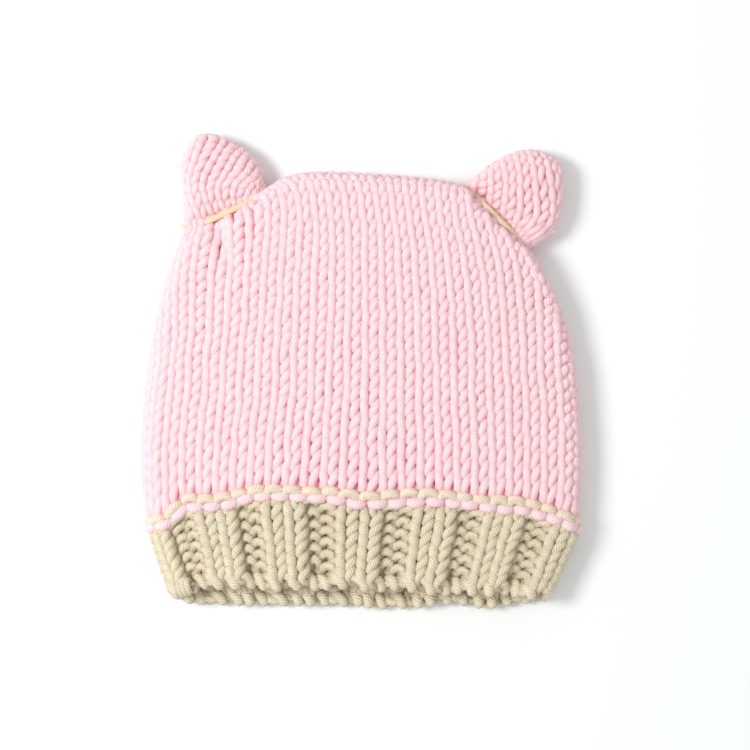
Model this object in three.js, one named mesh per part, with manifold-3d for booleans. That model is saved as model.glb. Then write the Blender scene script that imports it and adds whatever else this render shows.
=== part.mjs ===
// A chunky knitted baby hat with two ears, lying flat: a hollow stockinette crown, a ribbed brim
// round its opening, and two puffed ears, each held by a tie of yarn drawn round its neck.
// Millimetres. +Z is up from the surface that the hat lies on, +Y runs from the opening to the crown.
import * as THREE from 'three';
import { ParametricGeometry } from 'three/addons/geometries/ParametricGeometry.js';
import { mergeVertices } from 'three/addons/utils/BufferGeometryUtils.js';
import Module from 'manifold-3d';

const wasm = await Module();
wasm.setup();

// Driving sizes
const hatWidth = 178; // across the widest place, lying flat
const crownLength = 132; // from the colour change to the fold at the top
const brimLength = 42; // from the colour change to the hem of the lower layer
const wall = 4.6; // the knitted fabric
const gap = 0.4; // between neighbouring pieces
const foldHeight = 15; // over the side folds
const crownHeight = 20; // over the middle of the crown
const brimHeight = 19; // over the middle of the brim
const ribCount = 13; // repeats of two knit and two purl columns round the brim
const ribDepth = 1.6; // from the face of a rib to the purl valley beside it
const ridgeSwell = 0.8; // the purl ridge of the colour change, proud of the crown
const ridgeWidth = 7; // of that ridge, along the crown
const earRise = 31.5; // from the tie to the ear's tip
const earThickness = 13;
const neckThickness = 7; // of the fabric drawn in under a tie
const gatherReach = 9; // how far from a tie the fabric is drawn in
const gatherFolds = 4; // small folds side by side in each neck
const gatherDepth = 0.9; // from the crest of such a fold to its valley
const tieDiameter = 2.8; // the yarn of a tie

const halfWidth = hatWidth / 2;
const foldRadius = foldHeight / 2;
const neckHalf = neckThickness / 2;
const tieRadius = tieDiameter / 2;

// Side folds of the crown. Each row is a step from the colour change to the ties; x is a share of
// half the width and y a share of the crown's length.
const crownSides = [
  { leftX: -0.964, leftY: -0.1, rightX: 0.985, rightY: -0.103 },
  { leftX: -0.998, leftY: 0.1, rightX: 1.0, rightY: 0.09 },
  { leftX: -0.987, leftY: 0.292, rightX: 0.99, rightY: 0.262 },
  { leftX: -0.951, leftY: 0.476, rightX: 0.962, rightY: 0.434 },
  { leftX: -0.892, leftY: 0.658, rightX: 0.894, rightY: 0.599 },
  { leftX: -0.798, leftY: 0.836, rightX: 0.762, rightY: 0.764 },
];

// The fold at the top between the ears, from the left one to the right one, in the same shares.
const topFold = [
  { across: 0.25, x: -0.438, y: 0.948 },
  { across: 0.33, x: -0.32, y: 0.99 },
  { across: 0.42, x: -0.164, y: 1.0 },
  { across: 0.58, x: 0.169, y: 0.988 },
  { across: 0.67, x: 0.335, y: 0.976 },
  { across: 0.75, x: 0.474, y: 0.958 },
];

// The colour change across the hat, on each layer, as shares of the crown's length.
const colourChange = [
  { across: 0.0, upper: -0.1, lower: -0.1 },
  { across: 0.05, upper: -0.083, lower: -0.098 },
  { across: 0.09, upper: -0.037, lower: -0.095 },
  { across: 0.15, upper: -0.032, lower: -0.093 },
  { across: 0.28, upper: -0.001, lower: -0.088 },
  { across: 0.42, upper: -0.011, lower: -0.085 },
  { across: 0.51, upper: -0.026, lower: -0.083 },
  { across: 0.62, upper: -0.017, lower: -0.085 },
  { across: 0.75, upper: -0.029, lower: -0.088 },
  { across: 0.9, upper: -0.055, lower: -0.096 },
  { across: 1.0, upper: -0.103, lower: -0.103 },
];

// The hem across the hat, on each layer, as shares of the brim's length; the upper layer is shorter.
const hem = [
  { across: 0.0, upper: -0.95, lower: -0.95 },
  { across: 0.08, upper: -0.82, lower: -0.975 },
  { across: 0.25, upper: -0.81, lower: -0.99 },
  { across: 0.5, upper: -0.825, lower: -1.0 },
  { across: 0.75, upper: -0.855, lower: -1.0 },
  { across: 0.92, upper: -0.89, lower: -0.98 },
  { across: 1.0, upper: -0.96, lower: -0.96 },
];
const hemLeftX = -0.86;
const hemRightX = 0.845;

// The K2 P2 rib round the brim: where some of its ribs lie, as shares of the way round from the
// left fold over the upper layer; the ones between are even.
const ribPlaces = [
  { across: -0.1385, rib: -2 },
  { across: -0.0604, rib: -1 },
  { across: 0.0177, rib: 0 },
  { across: 0.0905, rib: 1 },
  { across: 0.165, rib: 2 },
  { across: 0.2485, rib: 3 },
  { across: 0.3265, rib: 4 },
  { across: 0.4015, rib: 5 },
  { across: 0.475, rib: 6 },
  { across: 0.7444, rib: 9.5 },
  { across: 1.0177, rib: 13 },
];

// The ears' outlines from the tie (step 0) to the tip (step 1): each side as a share of half the
// tie, seen with the ear pointing up.
const tieShare = 0.25;
const ears = [
  {
    side: 'left',
    rise: 0.96,
    outline: [
      { across: 0.0, left: -1.0, right: 1.0 },
      { across: 0.17, left: -0.8, right: 1.08 },
      { across: 0.33, left: -0.67, right: 1.01 },
      { across: 0.5, left: -0.55, right: 0.79 },
      { across: 0.67, left: -0.32, right: 0.57 },
      { across: 0.83, left: -0.05, right: 0.32 },
      { across: 1.0, left: 0.11, right: 0.11 },
    ],
  },
  {
    side: 'right',
    rise: 1.03,
    outline: [
      { across: 0.0, left: -1.0, right: 1.0 },
      { across: 0.17, left: -0.95, right: 1.07 },
      { across: 0.33, left: -0.87, right: 1.0 },
      { across: 0.5, left: -0.73, right: 0.76 },
      { across: 0.67, left: -0.52, right: 0.49 },
      { across: 0.83, left: -0.23, right: 0.29 },
      { across: 1.0, left: 0.05, right: 0.05 },
    ],
  },
];

const lerp = THREE.MathUtils.lerp;
const clamp = THREE.MathUtils.clamp;

// A smooth curve through one column of a table whose rows are ordered by their share across.
function column(table, name, across) {
  const last = table.length - 2;
  let i = 0;
  while (i < last && across > table[i + 1].across) i += 1;
  const span = table[i + 1].across - table[i].across;
  const t = clamp((across - table[i].across) / span, 0, 1);
  const slope = (a, b) => (table[b][name] - table[a][name]) / (table[b].across - table[a].across);
  const before = slope(Math.max(i - 1, 0), i + 1) * span;
  const after = slope(i, Math.min(i + 2, table.length - 1)) * span;
  const rise = table[i + 1][name] - table[i][name];
  const bend = 3 * rise - 2 * before - after;
  const turn = before + after - 2 * rise;
  return table[i][name] + t * (before + t * (bend + t * turn));
}

// The height of a round edge, from 0 at the edge to 1 where the radius ends.
function roundEdge(distance, radius) {
  const inside = clamp(1 - distance / radius, 0, 1);
  return Math.sqrt(1 - inside * inside);
}

// Side folds as curves from the colour change to the ties.
const leftFold = new THREE.SplineCurve(
  crownSides.map((row) => new THREE.Vector2(row.leftX * halfWidth, row.leftY * crownLength)),
);
const rightFold = new THREE.SplineCurve(
  crownSides.map((row) => new THREE.Vector2(row.rightX * halfWidth, row.rightY * crownLength)),
);

// Where a tie crosses the hat: its outer end on the side fold, and its inner end on the top fold.
function tieEnds(ear) {
  const inner = ear.side === 'left' ? topFold[0] : topFold[topFold.length - 1];
  const outerEnd = (ear.side === 'left' ? leftFold : rightFold).getPoint(1);
  const innerEnd = new THREE.Vector2(inner.x * halfWidth, inner.y * crownLength);
  return ear.side === 'left' ? [outerEnd, innerEnd] : [innerEnd, outerEnd];
}
const [leftTie, rightTie] = ears.map(tieEnds);

// The upper end of the crown: the left tie, the fold at the top, then the right tie.
function topEdge(across) {
  if (across < tieShare) return leftTie[0].clone().lerp(leftTie[1], across / tieShare);
  if (across > 1 - tieShare) {
    return rightTie[0].clone().lerp(rightTie[1], (across - 1 + tieShare) / tieShare);
  }
  return new THREE.Vector2(
    column(topFold, 'x', across) * halfWidth,
    column(topFold, 'y', across) * crownLength,
  );
}

function lowerEdge(across, layer) {
  const x = lerp(crownSides[0].leftX, crownSides[0].rightX, across) * halfWidth;
  return new THREE.Vector2(x, column(colourChange, layer, across) * crownLength);
}

function hemEdge(across, layer) {
  const x = lerp(hemLeftX, hemRightX, across) * halfWidth;
  return new THREE.Vector2(x, column(hem, layer, across) * brimLength);
}

// A point of the crown seen from above: a patch stretched between its four edges. The lower
// layer parts from the upper one at the colour change, less and less towards the top.
function crownPlan(across, up, parting) {
  const low = lowerEdge(across, 'upper');
  const high = topEdge(across);
  const left = leftFold.getPoint(up);
  const right = rightFold.getPoint(up);
  const corner = (key) =>
    lerp(
      lerp(lowerEdge(0, 'upper')[key], lowerEdge(1, 'upper')[key], across),
      lerp(leftFold.getPoint(1)[key], rightFold.getPoint(1)[key], across),
      up,
    );
  const patch = (key) =>
    lerp(low[key], high[key], up) + lerp(left[key], right[key], across) - corner(key);
  return new THREE.Vector2(patch('x'), patch('y') - parting);
}

// Height of the upper layer's face over the middle of the hat and towards its folds.
function faceHeight(across, middleHeight) {
  const fromMiddle = 2 * across - 1;
  return lerp(middleHeight, foldHeight, fromMiddle * fromMiddle);
}

// Half of the way round is the upper layer, from the left fold to the right one; the rest is the
// lower layer, from the right fold back to the left one.
function layerAt(around) {
  return around <= 0.5
    ? { layer: 'upper', share: 2 * around }
    : { layer: 'lower', share: 2 - 2 * around };
}

// Height of a layer, from its thickness towards an edge (0 at the edge, 1 well inside).
function layerHeight(layer, top, inset, fullness) {
  const full = layer === 'upper' ? top - inset : inset;
  return lerp(foldRadius, full, fullness);
}

// How much the crown keeps of its thickness near its top: it closes round at the fold, and is
// drawn in to a neck at the ties.
function crownFullness(across, distance, inset) {
  const fold = roundEdge(distance, foldRadius - inset);
  if (inset > 0) return fold;
  const neck = lerp(neckHalf / foldRadius, 1, THREE.MathUtils.smoothstep(distance, 0, gatherReach));
  const side = Math.min(across, 1 - across);
  const blend = 0.03;
  return lerp(neck, fold, THREE.MathUtils.smoothstep(side, tieShare - blend, tieShare));
}

function ridge(distance) {
  return ridgeSwell * Math.sin(Math.PI * clamp(distance / ridgeWidth, 0, 1));
}

// The small folds of fabric drawn in by a tie: how deep below the face, by the share along the
// tie and the distance from it.
function gather(alongTie, distance) {
  const fade = 1 - THREE.MathUtils.smoothstep(distance, gatherReach / 2, 2 * gatherReach);
  const wave = (1 - Math.cos(2 * Math.PI * gatherFolds * alongTie)) / 2;
  return clamp(alongTie, 0, 1) === alongTie ? gatherDepth * wave * fade : 0;
}

// A point of the crown's outer face (inset 0) or of its inner face (inset by the wall).
function crownPoint(around, up, inset) {
  const { layer, share } = layerAt(around);
  const packed = (1 - Math.cos(Math.PI * share)) / 2;
  const insetAcross = inset / hatWidth;
  const across = lerp(insetAcross, 1 - insetAcross, packed);
  const topInset = inset / crownLength;
  const t = up * (1 - topInset);
  const parting = (lowerEdge(packed, 'upper').y - lowerEdge(packed, layer).y) * (1 - up) ** 2;
  const plan = crownPlan(across, t, parting);
  const fromFold = Math.min(packed, 1 - packed) * hatWidth;
  const fromTop = (1 - up) * crownLength;
  const swell = inset > 0 || layer === 'lower' ? 0 : ridge(up * crownLength);
  const top = faceHeight(across, crownHeight) + swell;
  const fullness = roundEdge(fromFold, foldRadius - inset) * crownFullness(across, fromTop, inset);
  const height = layerHeight(layer, top, inset, fullness);
  const side = Math.min(across, 1 - across) / tieShare;
  const folds = inset > 0 ? 0 : gather(side, fromTop) * Math.sign(height - foldRadius);
  return new THREE.Vector3(plan.x, plan.y, height - folds);
}

// The way round the brim is measured along the fabric, so that its ribs stay even over the folds.
function acrossFromFabric(share) {
  const foldArc = (Math.PI / 2) * foldRadius;
  const fabric = hatWidth - 2 * foldRadius + 2 * foldArc;
  const along = Math.min(share, 1 - share) * fabric;
  const plan =
    along < foldArc
      ? foldRadius * (1 - Math.cos(along / foldRadius))
      : foldRadius + along - foldArc;
  return share < 0.5 ? plan / hatWidth : 1 - plan / hatWidth;
}

// A point of the brim's smooth face before its ribs, from the colour change (0) to the hem (1).
function brimFace(around, down) {
  const { layer, share } = layerAt(around);
  const across = acrossFromFabric(share);
  const plan = lowerEdge(across, layer).lerp(hemEdge(across, layer), down);
  const fromFold = Math.min(across, 1 - across) * hatWidth;
  const top = faceHeight(across, brimHeight);
  const z = layerHeight(layer, top, 0, roundEdge(fromFold, foldRadius));
  return new THREE.Vector3(plan.x, plan.y, z);
}

// Depth below the smooth face: 0 on a rib's two knit columns, full in the purl columns beside it.
function ribValley(around) {
  const knitShare = 0.6;
  const slope = 0.14;
  const rib = column(ribPlaces, 'rib', around > 0.97 ? around - 1 : around);
  const fromRib = Math.abs(rib - Math.round(rib));
  const step = THREE.MathUtils.smoothstep;
  return ribDepth * step(fromRib, knitShare / 2 - slope / 2, knitShare / 2 + slope / 2);
}

// A point at a depth below the brim's face, square to the way round.
function brimPoint(around, down, depth) {
  const step = 0.002;
  const here = brimFace(around, down);
  const next = brimFace((around + step) % 1, down);
  const last = brimFace((around - step + 1) % 1, down);
  const way = next.sub(last);
  const inward = new THREE.Vector3(way.z, 0, -way.x).normalize();
  return here.addScaledVector(inward, depth + ribValley(around));
}

// A closed surface as a solid: shared vertices merged, and faces shrunk to nothing left out.
function solidFrom(geometry) {
  geometry.deleteAttribute('normal');
  geometry.deleteAttribute('uv');
  const merged = mergeVertices(geometry, 1e-3);
  const index = Array.from(merged.index.array);
  const faces = [];
  for (let i = 0; i < index.length; i += 3) {
    const [a, b, c] = index.slice(i, i + 3);
    if (a !== b && b !== c && c !== a) faces.push([a, b, c]);
  }
  const make = (triangles) =>
    new wasm.Manifold(
      new wasm.Mesh({
        numProp: 3,
        vertProperties: new Float32Array(merged.attributes.position.array),
        triVerts: new Uint32Array(triangles.flat()),
      }),
    );
  const solid = make(faces);
  return solid.volume() > 0 ? solid : make(faces.map(([a, b, c]) => [a, c, b]));
}

function geometryFrom(solid) {
  const mesh = solid.getMesh();
  const geometry = new THREE.BufferGeometry();
  geometry.setAttribute('position', new THREE.BufferAttribute(mesh.vertProperties, 3));
  geometry.setIndex(new THREE.BufferAttribute(mesh.triVerts, 1));
  geometry.computeVertexNormals();
  return geometry;
}

// The crown's wall: down its outer face from the top, then up its inner face.
function crownSolid() {
  const outerRows = 18;
  const innerRows = 8;
  const rows = outerRows + innerRows + 2;
  const packTop = (share) => 1 - (1 - share) ** 2;
  const surface = (u, v, target) => {
    const row = Math.round(v * rows);
    if (row === 0) {
      const seam = crownPoint(u, 1, 0);
      target.set(seam.x, seam.y, foldRadius);
    } else if (row <= outerRows + 1) {
      target.copy(crownPoint(u, packTop((outerRows + 1 - row) / outerRows), 0));
    } else {
      target.copy(crownPoint(u, packTop((row - outerRows - 2) / innerRows), wall));
    }
  };
  return solidFrom(new ParametricGeometry(surface, 92, rows));
}

// The brim's wall, ribbed on both faces: down its outer face, then back up its inner face.
function brimSolid() {
  const faceRows = 5;
  const rows = 2 * faceRows + 2;
  const facetsPerRib = 6;
  const down = (share) => lerp(gap / brimLength, 1, share);
  const surface = (u, v, target) => {
    const row = Math.round(v * rows) % rows;
    const outer = row <= faceRows;
    const share = outer ? row / faceRows : (rows - 1 - row) / faceRows;
    target.copy(brimPoint(u, down(share), outer ? 0 : wall));
  };
  return solidFrom(new ParametricGeometry(surface, ribCount * facetsPerRib, rows));
}

// The section of an ear across its neck, as shares: the lower layer mirrors the upper one.
function neckSection(around) {
  const { layer, share } = layerAt(around);
  const x = -Math.cos(Math.PI * share);
  const z = Math.sqrt(1 - Math.abs(x) ** 3);
  return new THREE.Vector2(x, layer === 'upper' ? z : -z);
}

// An ear in its own frame: x along the tie, y away from the crown, z up, with 0 halfway up the fold.
function earSolid(ear, base) {
  const rows = 12;
  const surface = (u, v, target) => {
    const row = Math.round(v * rows);
    const step = Math.max(row - 1, 0) / (rows - 1);
    const angle = (Math.PI / 2) * step;
    const y = earRise * ear.rise * Math.sin(angle);
    const section = neckSection(u);
    const share = (section.x + 1) / 2;
    const left = column(ear.outline, 'left', step);
    const right = column(ear.outline, 'right', step);
    const puff = lerp(neckHalf, earThickness / 2, THREE.MathUtils.smoothstep(y, 1, gatherReach));
    const dome = Math.sqrt(1 - Math.sin(angle) ** 5);
    const height = puff * dome * section.y - gather(share, y) * Math.sign(section.y) * dome;
    const z = row === 0 ? 0 : height;
    target.set((lerp(left, right, share) * base) / 2, y + gap, z);
  };
  return solidFrom(new ParametricGeometry(surface, 32, rows));
}

// A loop of yarn round an ear's neck, in the ear's frame; the grown one cuts its groove.
function tieSolid(base, grow) {
  const neckPoint = (u) => neckSection((u + 1) % 1).multiply(new THREE.Vector2(base / 2, neckHalf));
  const surface = (u, v, target) => {
    const seat = neckPoint(u);
    const way = neckPoint(u + 1 / 64).sub(neckPoint(u - 1 / 64)).normalize();
    const angle = 2 * Math.PI * v;
    const radius = tieRadius + grow;
    const out = tieRadius / 2 + radius * Math.cos(angle);
    target.set(seat.x - way.y * out, gap / 2 + radius * Math.sin(angle), seat.y + way.x * out);
  };
  return solidFrom(new ParametricGeometry(surface, 32, 8));
}

function place(solid, group) {
  group.updateMatrix();
  return solid.transform(group.matrix.elements);
}

const pink = { color: 0xf7c3cc, roughness: 0.95, metalness: 0 };
const oatmeal = { color: 0xcdbd98, roughness: 0.95, metalness: 0 };
const cream = { color: 0xf3dfb8, roughness: 0.95, metalness: 0 };

function piece(name, geometry, finish) {
  const mesh = new THREE.Mesh(geometry, new THREE.MeshStandardMaterial(finish));
  mesh.name = name;
  return mesh;
}

const hat = new THREE.Group();
let crown = crownSolid();

ears.forEach((ear) => {
  const [start, end] = ear.side === 'left' ? leftTie : rightTie;
  const base = start.distanceTo(end);
  const group = new THREE.Group();
  group.position.set((start.x + end.x) / 2, (start.y + end.y) / 2, foldRadius);
  group.rotation.z = Math.atan2(end.y - start.y, end.x - start.x);
  const groove = tieSolid(base, gap);
  crown = crown.subtract(place(groove, group));
  const earForm = earSolid(ear, base).subtract(groove);
  const tie = tieSolid(base, 0);
  group.add(piece(`ear_${ear.side}`, geometryFrom(earForm), pink));
  group.add(piece(`ear_tie_${ear.side}`, geometryFrom(tie), cream));
  hat.add(group);
});

hat.add(piece('crown', geometryFrom(crown), pink));
hat.add(piece('brim', geometryFrom(brimSolid()), oatmeal));

// The frame's origin is under the middle of the hat, on the surface that it lies on.
const box = new THREE.Box3().setFromObject(hat, true);
const middle = box.getCenter(new THREE.Vector3());
const model = new THREE.Group();
hat.position.set(-middle.x, -middle.y, -box.min.z);
model.add(hat);

export default model;
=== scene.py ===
"""A chunky knitted baby hat with ears, lying flat, dressed with real rows of looped yarn."""

import math

import bmesh
import bpy
import numpy as np
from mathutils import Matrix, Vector


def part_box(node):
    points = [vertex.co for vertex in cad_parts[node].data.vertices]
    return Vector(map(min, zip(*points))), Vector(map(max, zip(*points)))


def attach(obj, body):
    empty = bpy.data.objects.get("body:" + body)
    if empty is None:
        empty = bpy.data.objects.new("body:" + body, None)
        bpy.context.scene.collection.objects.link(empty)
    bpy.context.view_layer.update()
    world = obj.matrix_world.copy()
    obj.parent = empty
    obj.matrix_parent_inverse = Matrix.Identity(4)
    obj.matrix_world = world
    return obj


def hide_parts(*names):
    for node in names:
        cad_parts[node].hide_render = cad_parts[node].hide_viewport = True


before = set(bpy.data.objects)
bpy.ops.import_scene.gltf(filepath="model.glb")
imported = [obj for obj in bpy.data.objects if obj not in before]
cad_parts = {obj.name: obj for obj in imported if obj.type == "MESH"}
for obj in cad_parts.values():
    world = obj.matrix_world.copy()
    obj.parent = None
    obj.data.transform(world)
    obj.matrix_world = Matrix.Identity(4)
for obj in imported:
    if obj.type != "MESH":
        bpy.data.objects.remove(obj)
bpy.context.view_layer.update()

# Sizes of the hat, in millimetres, as in the part's source
HAT_WIDTH = 178.0
CROWN_LENGTH = 132.0
BRIM_LENGTH = 42.0
FOLD_HEIGHT = 15.0
CROWN_HEIGHT = 20.0
BRIM_HEIGHT = 19.0
RIB_COUNT = 13
RIB_DEPTH = 1.6
NECK_THICKNESS = 7.0
GATHER_REACH = 9.0
TIE_SHARE = 0.25
EAR_RISE = 31.5
EAR_THICKNESS = 13.0
TIE_RADIUS = 1.4

FOLD_RADIUS = FOLD_HEIGHT / 2
NECK_HALF = NECK_THICKNESS / 2

# The photo: its size and the colour change's middle in pixels, a pixel in millimetres, and the
# camera's height and the height its scale is right at, in metres
PHOTO_SIZE = 750
ORIGIN_PIXEL = (361.5, 500)
PIXEL = 0.4
CAMERA_HEIGHT = 0.9
FOCUS_HEIGHT = 0.012
SENSOR_WIDTH = 36

# The knitting. A stand is a share of LOOP_DEPTH, out from the middle of the fabric; a thickness
# is a share of the yarn's radius; columns and rows count stitches.
YARN_RADIUS = 1.95
EAR_YARN = 1.65
LOOP_DEPTH = 1.1  # how far a loop's legs and head stand off the middle of the fabric
STITCHES = 4 * RIB_COUNT
BRIM_ROWS = 7
RIDGE_ROW = BRIM_ROWS  # the one purl row, in the crown's yarn
CROWN_ROWS = 25
ROWS_TO_FOLD = 26.3  # from the ridge row's foot to the fold at the top
RIDGE_RISE = 2.0  # the ridge row's foot above the colour change, in millimetres
HEM_RISE = 1.4  # the first row's foot above the hem
POINTS_PER_STITCH = 14
YARN_SIDES = 7
TIE_SIDES = 12
SUNK_LOW = 0.0  # heights over the middle of the fabric, in millimetres: all in shade, all in light
SUNK_HIGH = 2.6
WIDTH = 0.16  # how far a loop's legs bow out, in columns
LEAN = 0.18  # how far a loop's head lies to the right of its foot, in columns
HEIGHT = 1.68  # how far a loop's head reaches up, in rows
PURL_WIDER = 0.08
SLANT = 0.055  # the right leg of a knit stitch slants this much more than the left one
VALLEY = 1.6  # the loops between the ribs sink further than the solid shows
RIB_SWELL = 0.8  # and the ribs of the upper layer stand this far proud, in millimetres
KNIT_SHARE = 0.31  # of the ribs' spacing, for each of a rib's two knit columns
VALLEY_EDGES = (0.26, 0.39)  # where the sides of a rib begin and end, in shares of the spacing
FIRST_COLUMN = 0.15  # the crown's first column starts this far beyond the left fold, in columns
DRIFT_ROWS = 8  # above the ridge, over which the columns drift from the ribs to even places
MINIMUM_LIFT = 0.4  # between the yarn and the floor, in millimetres
# What changes by the ridge row, and between which rows counted from its foot
COLUMNS_SETTLE = (-1.2, 0.2)
VALLEYS_END = (-1.5, 0.0)
FACES_MEET = (-0.6, 0.8)
# How far the loops wander: seed and size
COL_WANDER = (3, 0.07)
ROW_WANDER = (4, 0.12)
STAND_WANDER = (5, 0.15)
EAR_COL_WANDER = (8, 0.06)
EAR_ROW_WANDER = (9, 0.12)
WANDER_ROWS = 48
WANDER_ROWS_BELOW = 4
HEM_LOOSER = 1.2  # the hem's loops wander this much more, in shares
HEM_LOOSE_ROWS = 1.5
# How parts of a loop depart from a plain one: by how much, and between which places of the loop,
# from 0 at its foot to 1 at its head
RIDGE_FEET_OUT = (0.9, 0.0, 0.3)
RIDGE_FEET_FULLER = (0.12, 0.0, 0.5)
CREST_HEADS_OUT = (0.6, 0.7, 1.0)
CREST_HEADS_FULLER = (0.14, 0.5, 1.0)
CREST_HIGHER = 0.22  # the brim's last heads lie over the pink row
PURL_FEET_IN = (0.9, 0.1, 0.6)
PURL_FEET_THINNER = (0.22, 0.3, 0.8)
PURL_HEADS_OUT = (0.2, 0.6, 1.0)
PURL_STAGGER = 0.22  # of the heads of the two purl columns, up and down, in rows
CROWN_FEET_FULLER = (0.1, 0.1, 0.4)
CROWN_THICKNESS = 1.03
CROWN_LEFT_FULLER = 0.05
CROWN_RIGHT_TAPER = 0.2
BRIM_LEFT_FULLER = 0.2
# A knit loop whose head goes under a purl loop: how deep, how far up in rows, and over how many
UNDER_DIP = 2.0
UNDER_AT = 1.06
UNDER_REACH = 0.24
# Rows are packed close to a tie, and cut off there; in shares of a column's length
PACKED_BELOW_TIE = 0.012
PACKING = 0.2
CUT_BELOW_TIE = 0.006
# The ears' yarn: how far from the folded edge a row turns back, in millimetres; its stand at the
# edge, and the one its painted shade is worked out with there, which gives the edge less painted
# shade; how far into the ear it may sink, in shares
EAR_MARGIN = 0.3
EAR_EDGE_STAND = 0.8
EAR_EDGE_LIT = 2.0
EAR_CORE = 0.86
KNOT_YARN = 0.75  # the knot is pulled tight, so its yarn is thinner
BRIM_ON_TOP = 0.83  # how much of the brim's length the upper layer has
# The strand wound round the hem's feet: how far it swings along, up and in and out
CAST_ON = {"along": 0.12, "rise": 0.15, "swing": 0.38, "stand": 1.25, "thick": 1.12}

SIDE_X_LEFT = (-0.964, -0.998, -0.987, -0.951, -0.892, -0.798)
SIDE_Y_LEFT = (-0.1, 0.1, 0.292, 0.476, 0.658, 0.836)
SIDE_X_RIGHT = (0.985, 1.0, 0.99, 0.962, 0.894, 0.762)
SIDE_Y_RIGHT = (-0.103, 0.09, 0.262, 0.434, 0.599, 0.764)
TOP_FOLD = {
    "across": (0.25, 0.33, 0.42, 0.58, 0.67, 0.75),
    "x": (-0.438, -0.32, -0.164, 0.169, 0.335, 0.474),
    "y": (0.948, 0.99, 1.0, 0.988, 0.976, 0.958),
}
COLOUR_CHANGE = {
    "across": (0.0, 0.05, 0.09, 0.15, 0.28, 0.42, 0.51, 0.62, 0.75, 0.9, 1.0),
    "upper": (-0.1, -0.083, -0.037, -0.032, -0.001, -0.011, -0.026, -0.017, -0.029, -0.055, -0.103),
    "lower": (-0.1, -0.098, -0.095, -0.093, -0.088, -0.085, -0.083, -0.085, -0.088, -0.096, -0.103),
}
HEM = {
    "across": (0.0, 0.08, 0.25, 0.5, 0.75, 0.92, 1.0),
    "upper": (-0.95, -0.82, -0.81, -0.825, -0.855, -0.89, -0.96),
    "lower": (-0.95, -0.975, -0.99, -1.0, -1.0, -0.98, -0.96),
}
HEM_LEFT_X = -0.86
HEM_RIGHT_X = 0.845
RIB_PLACES = {
    "across": (
        -0.1414, -0.0653, 0.0108, 0.0836, 0.1581, 0.2423, 0.3271, 0.4032, 0.477, 0.7444, 1.0108
    ),
    "rib": (-2, -1, 0, 1, 2, 3, 4, 5, 6, 9.5, 13),
}
EARS = {
    "left": {
        "rise": 0.96,
        "across": (0.0, 0.17, 0.33, 0.5, 0.67, 0.83, 1.0),
        "left": (-1.0, -0.8, -0.67, -0.55, -0.32, -0.05, 0.11),
        "right": (1.0, 1.08, 1.01, 0.79, 0.57, 0.32, 0.11),
    },
    "right": {
        "rise": 1.03,
        "across": (0.0, 0.17, 0.33, 0.5, 0.67, 0.83, 1.0),
        "left": (-1.0, -0.95, -0.87, -0.73, -0.52, -0.23, 0.05),
        "right": (1.0, 1.07, 1.0, 0.76, 0.49, 0.29, 0.05),
    },
}
# Shares of the fabric's width that end at the inner ends of the ties, and where those ends are
DRAWN = (0.0, 0.337, 0.753, 1.0)
TIE_ENDS = (0.0, 0.2306, 0.8155, 1.0)
DRAWN_FROM = 0.7  # the share of the way up from which a tie draws the columns in
ROLLED_LEFT = 0.028  # shares of the way round that roll under the edges below the ties
ROLLED_RIGHT = 0.038
GATHER_FOLDS = 4
GATHER_DEPTH = 0.9  # in millimetres
# The crease below the left tie: its route up and across the crown, in shares; where it fades in;
# its depth in millimetres; its width, and how it draws the columns beside it in, in shares
CREASE = {"up": (0.74, 0.97), "across": (0.185, 0.105), "fade": (0.7, 0.9)}
CREASE_DEPTH = 2.0
CREASE_WIDTH = 0.017
CREASE_PULL = 0.8
CREASE_REACH = 0.03
# Where the ears' columns of stitches run, from the tie upwards, in millimetres seen from above:
# one line for each column, with a place at each of the rows that EAR_ROWS gives
EAR_ROWS = {"left": (0.0, 2.3, 4.1, 7.0), "right": (0.0, 1.4, 3.5, 6.0)}
EAR_COLUMNS = {
    "left": (
        ((-71.4, 109.2), (-77.6, 121.6), (-77.6, 130.0), (-74.4, 144.0)),
        ((-66.2, 111.6), (-71.0, 122.0), (-71.0, 130.0), (-67.4, 143.2)),
        ((-61.0, 112.5), (-65.2, 122.8), (-64.6, 130.4), (-59.4, 142.0)),
        ((-56.2, 114.8), (-59.5, 124.0), (-57.2, 130.8), (-51.4, 140.0)),
        ((-52.2, 116.8), (-53.0, 124.4), (-49.1, 131.2), (-44.6, 137.2)),
        ((-48.2, 118.4), (-47.2, 124.4), (-42.2, 128.8), (-36.6, 133.6)),
        ((-43.8, 121.0), (-40.6, 125.4), (-35.4, 128.4), (-29.6, 131.6)),
        ((-39.0, 125.2), (-33.8, 126.4), (-28.6, 128.0), (-22.6, 129.6)),
    ),
    "right": (
        ((37.2, 131.0), (36.4, 137.0), (36.4, 143.0), (36.4, 150.0)),
        ((42.2, 126.5), (42.4, 132.0), (42.6, 138.4), (42.4, 145.2)),
        ((49.0, 119.6), (49.6, 124.8), (49.6, 132.0), (48.2, 141.6)),
        ((54.6, 115.0), (55.6, 119.8), (55.8, 128.2), (53.6, 139.2)),
        ((59.6, 111.2), (61.4, 116.2), (61.6, 127.0), (59.8, 138.6)),
        ((63.0, 107.4), (67.8, 114.0), (67.4, 124.6), (66.0, 137.6)),
        ((65.4, 104.2), (73.4, 111.0), (74.2, 121.6), (72.0, 136.0)),
        ((67.8, 100.8), (78.6, 106.6), (81.2, 118.0), (78.6, 134.0)),
    ),
}
# Where a tie's strand goes in and out of the fabric, in shares of half the tie: its reach and
# shift; where it dips under the stitches, and over what length; how far it clears the neck, and how
# far below the neck it lies, in millimetres
TIE_SEAT = {"left": (0.9, -0.1), "right": (0.7, 0.0)}
TIE_DIPS = {"left": -0.46, "right": -2.0}
TIE_DIP_LENGTH = 0.12
TIE_CLEAR = 1.7
TIE_SAG = {"left": 3.2, "right": 1.3}


def lerp(a, b, t):
    return a + (b - a) * t


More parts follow.
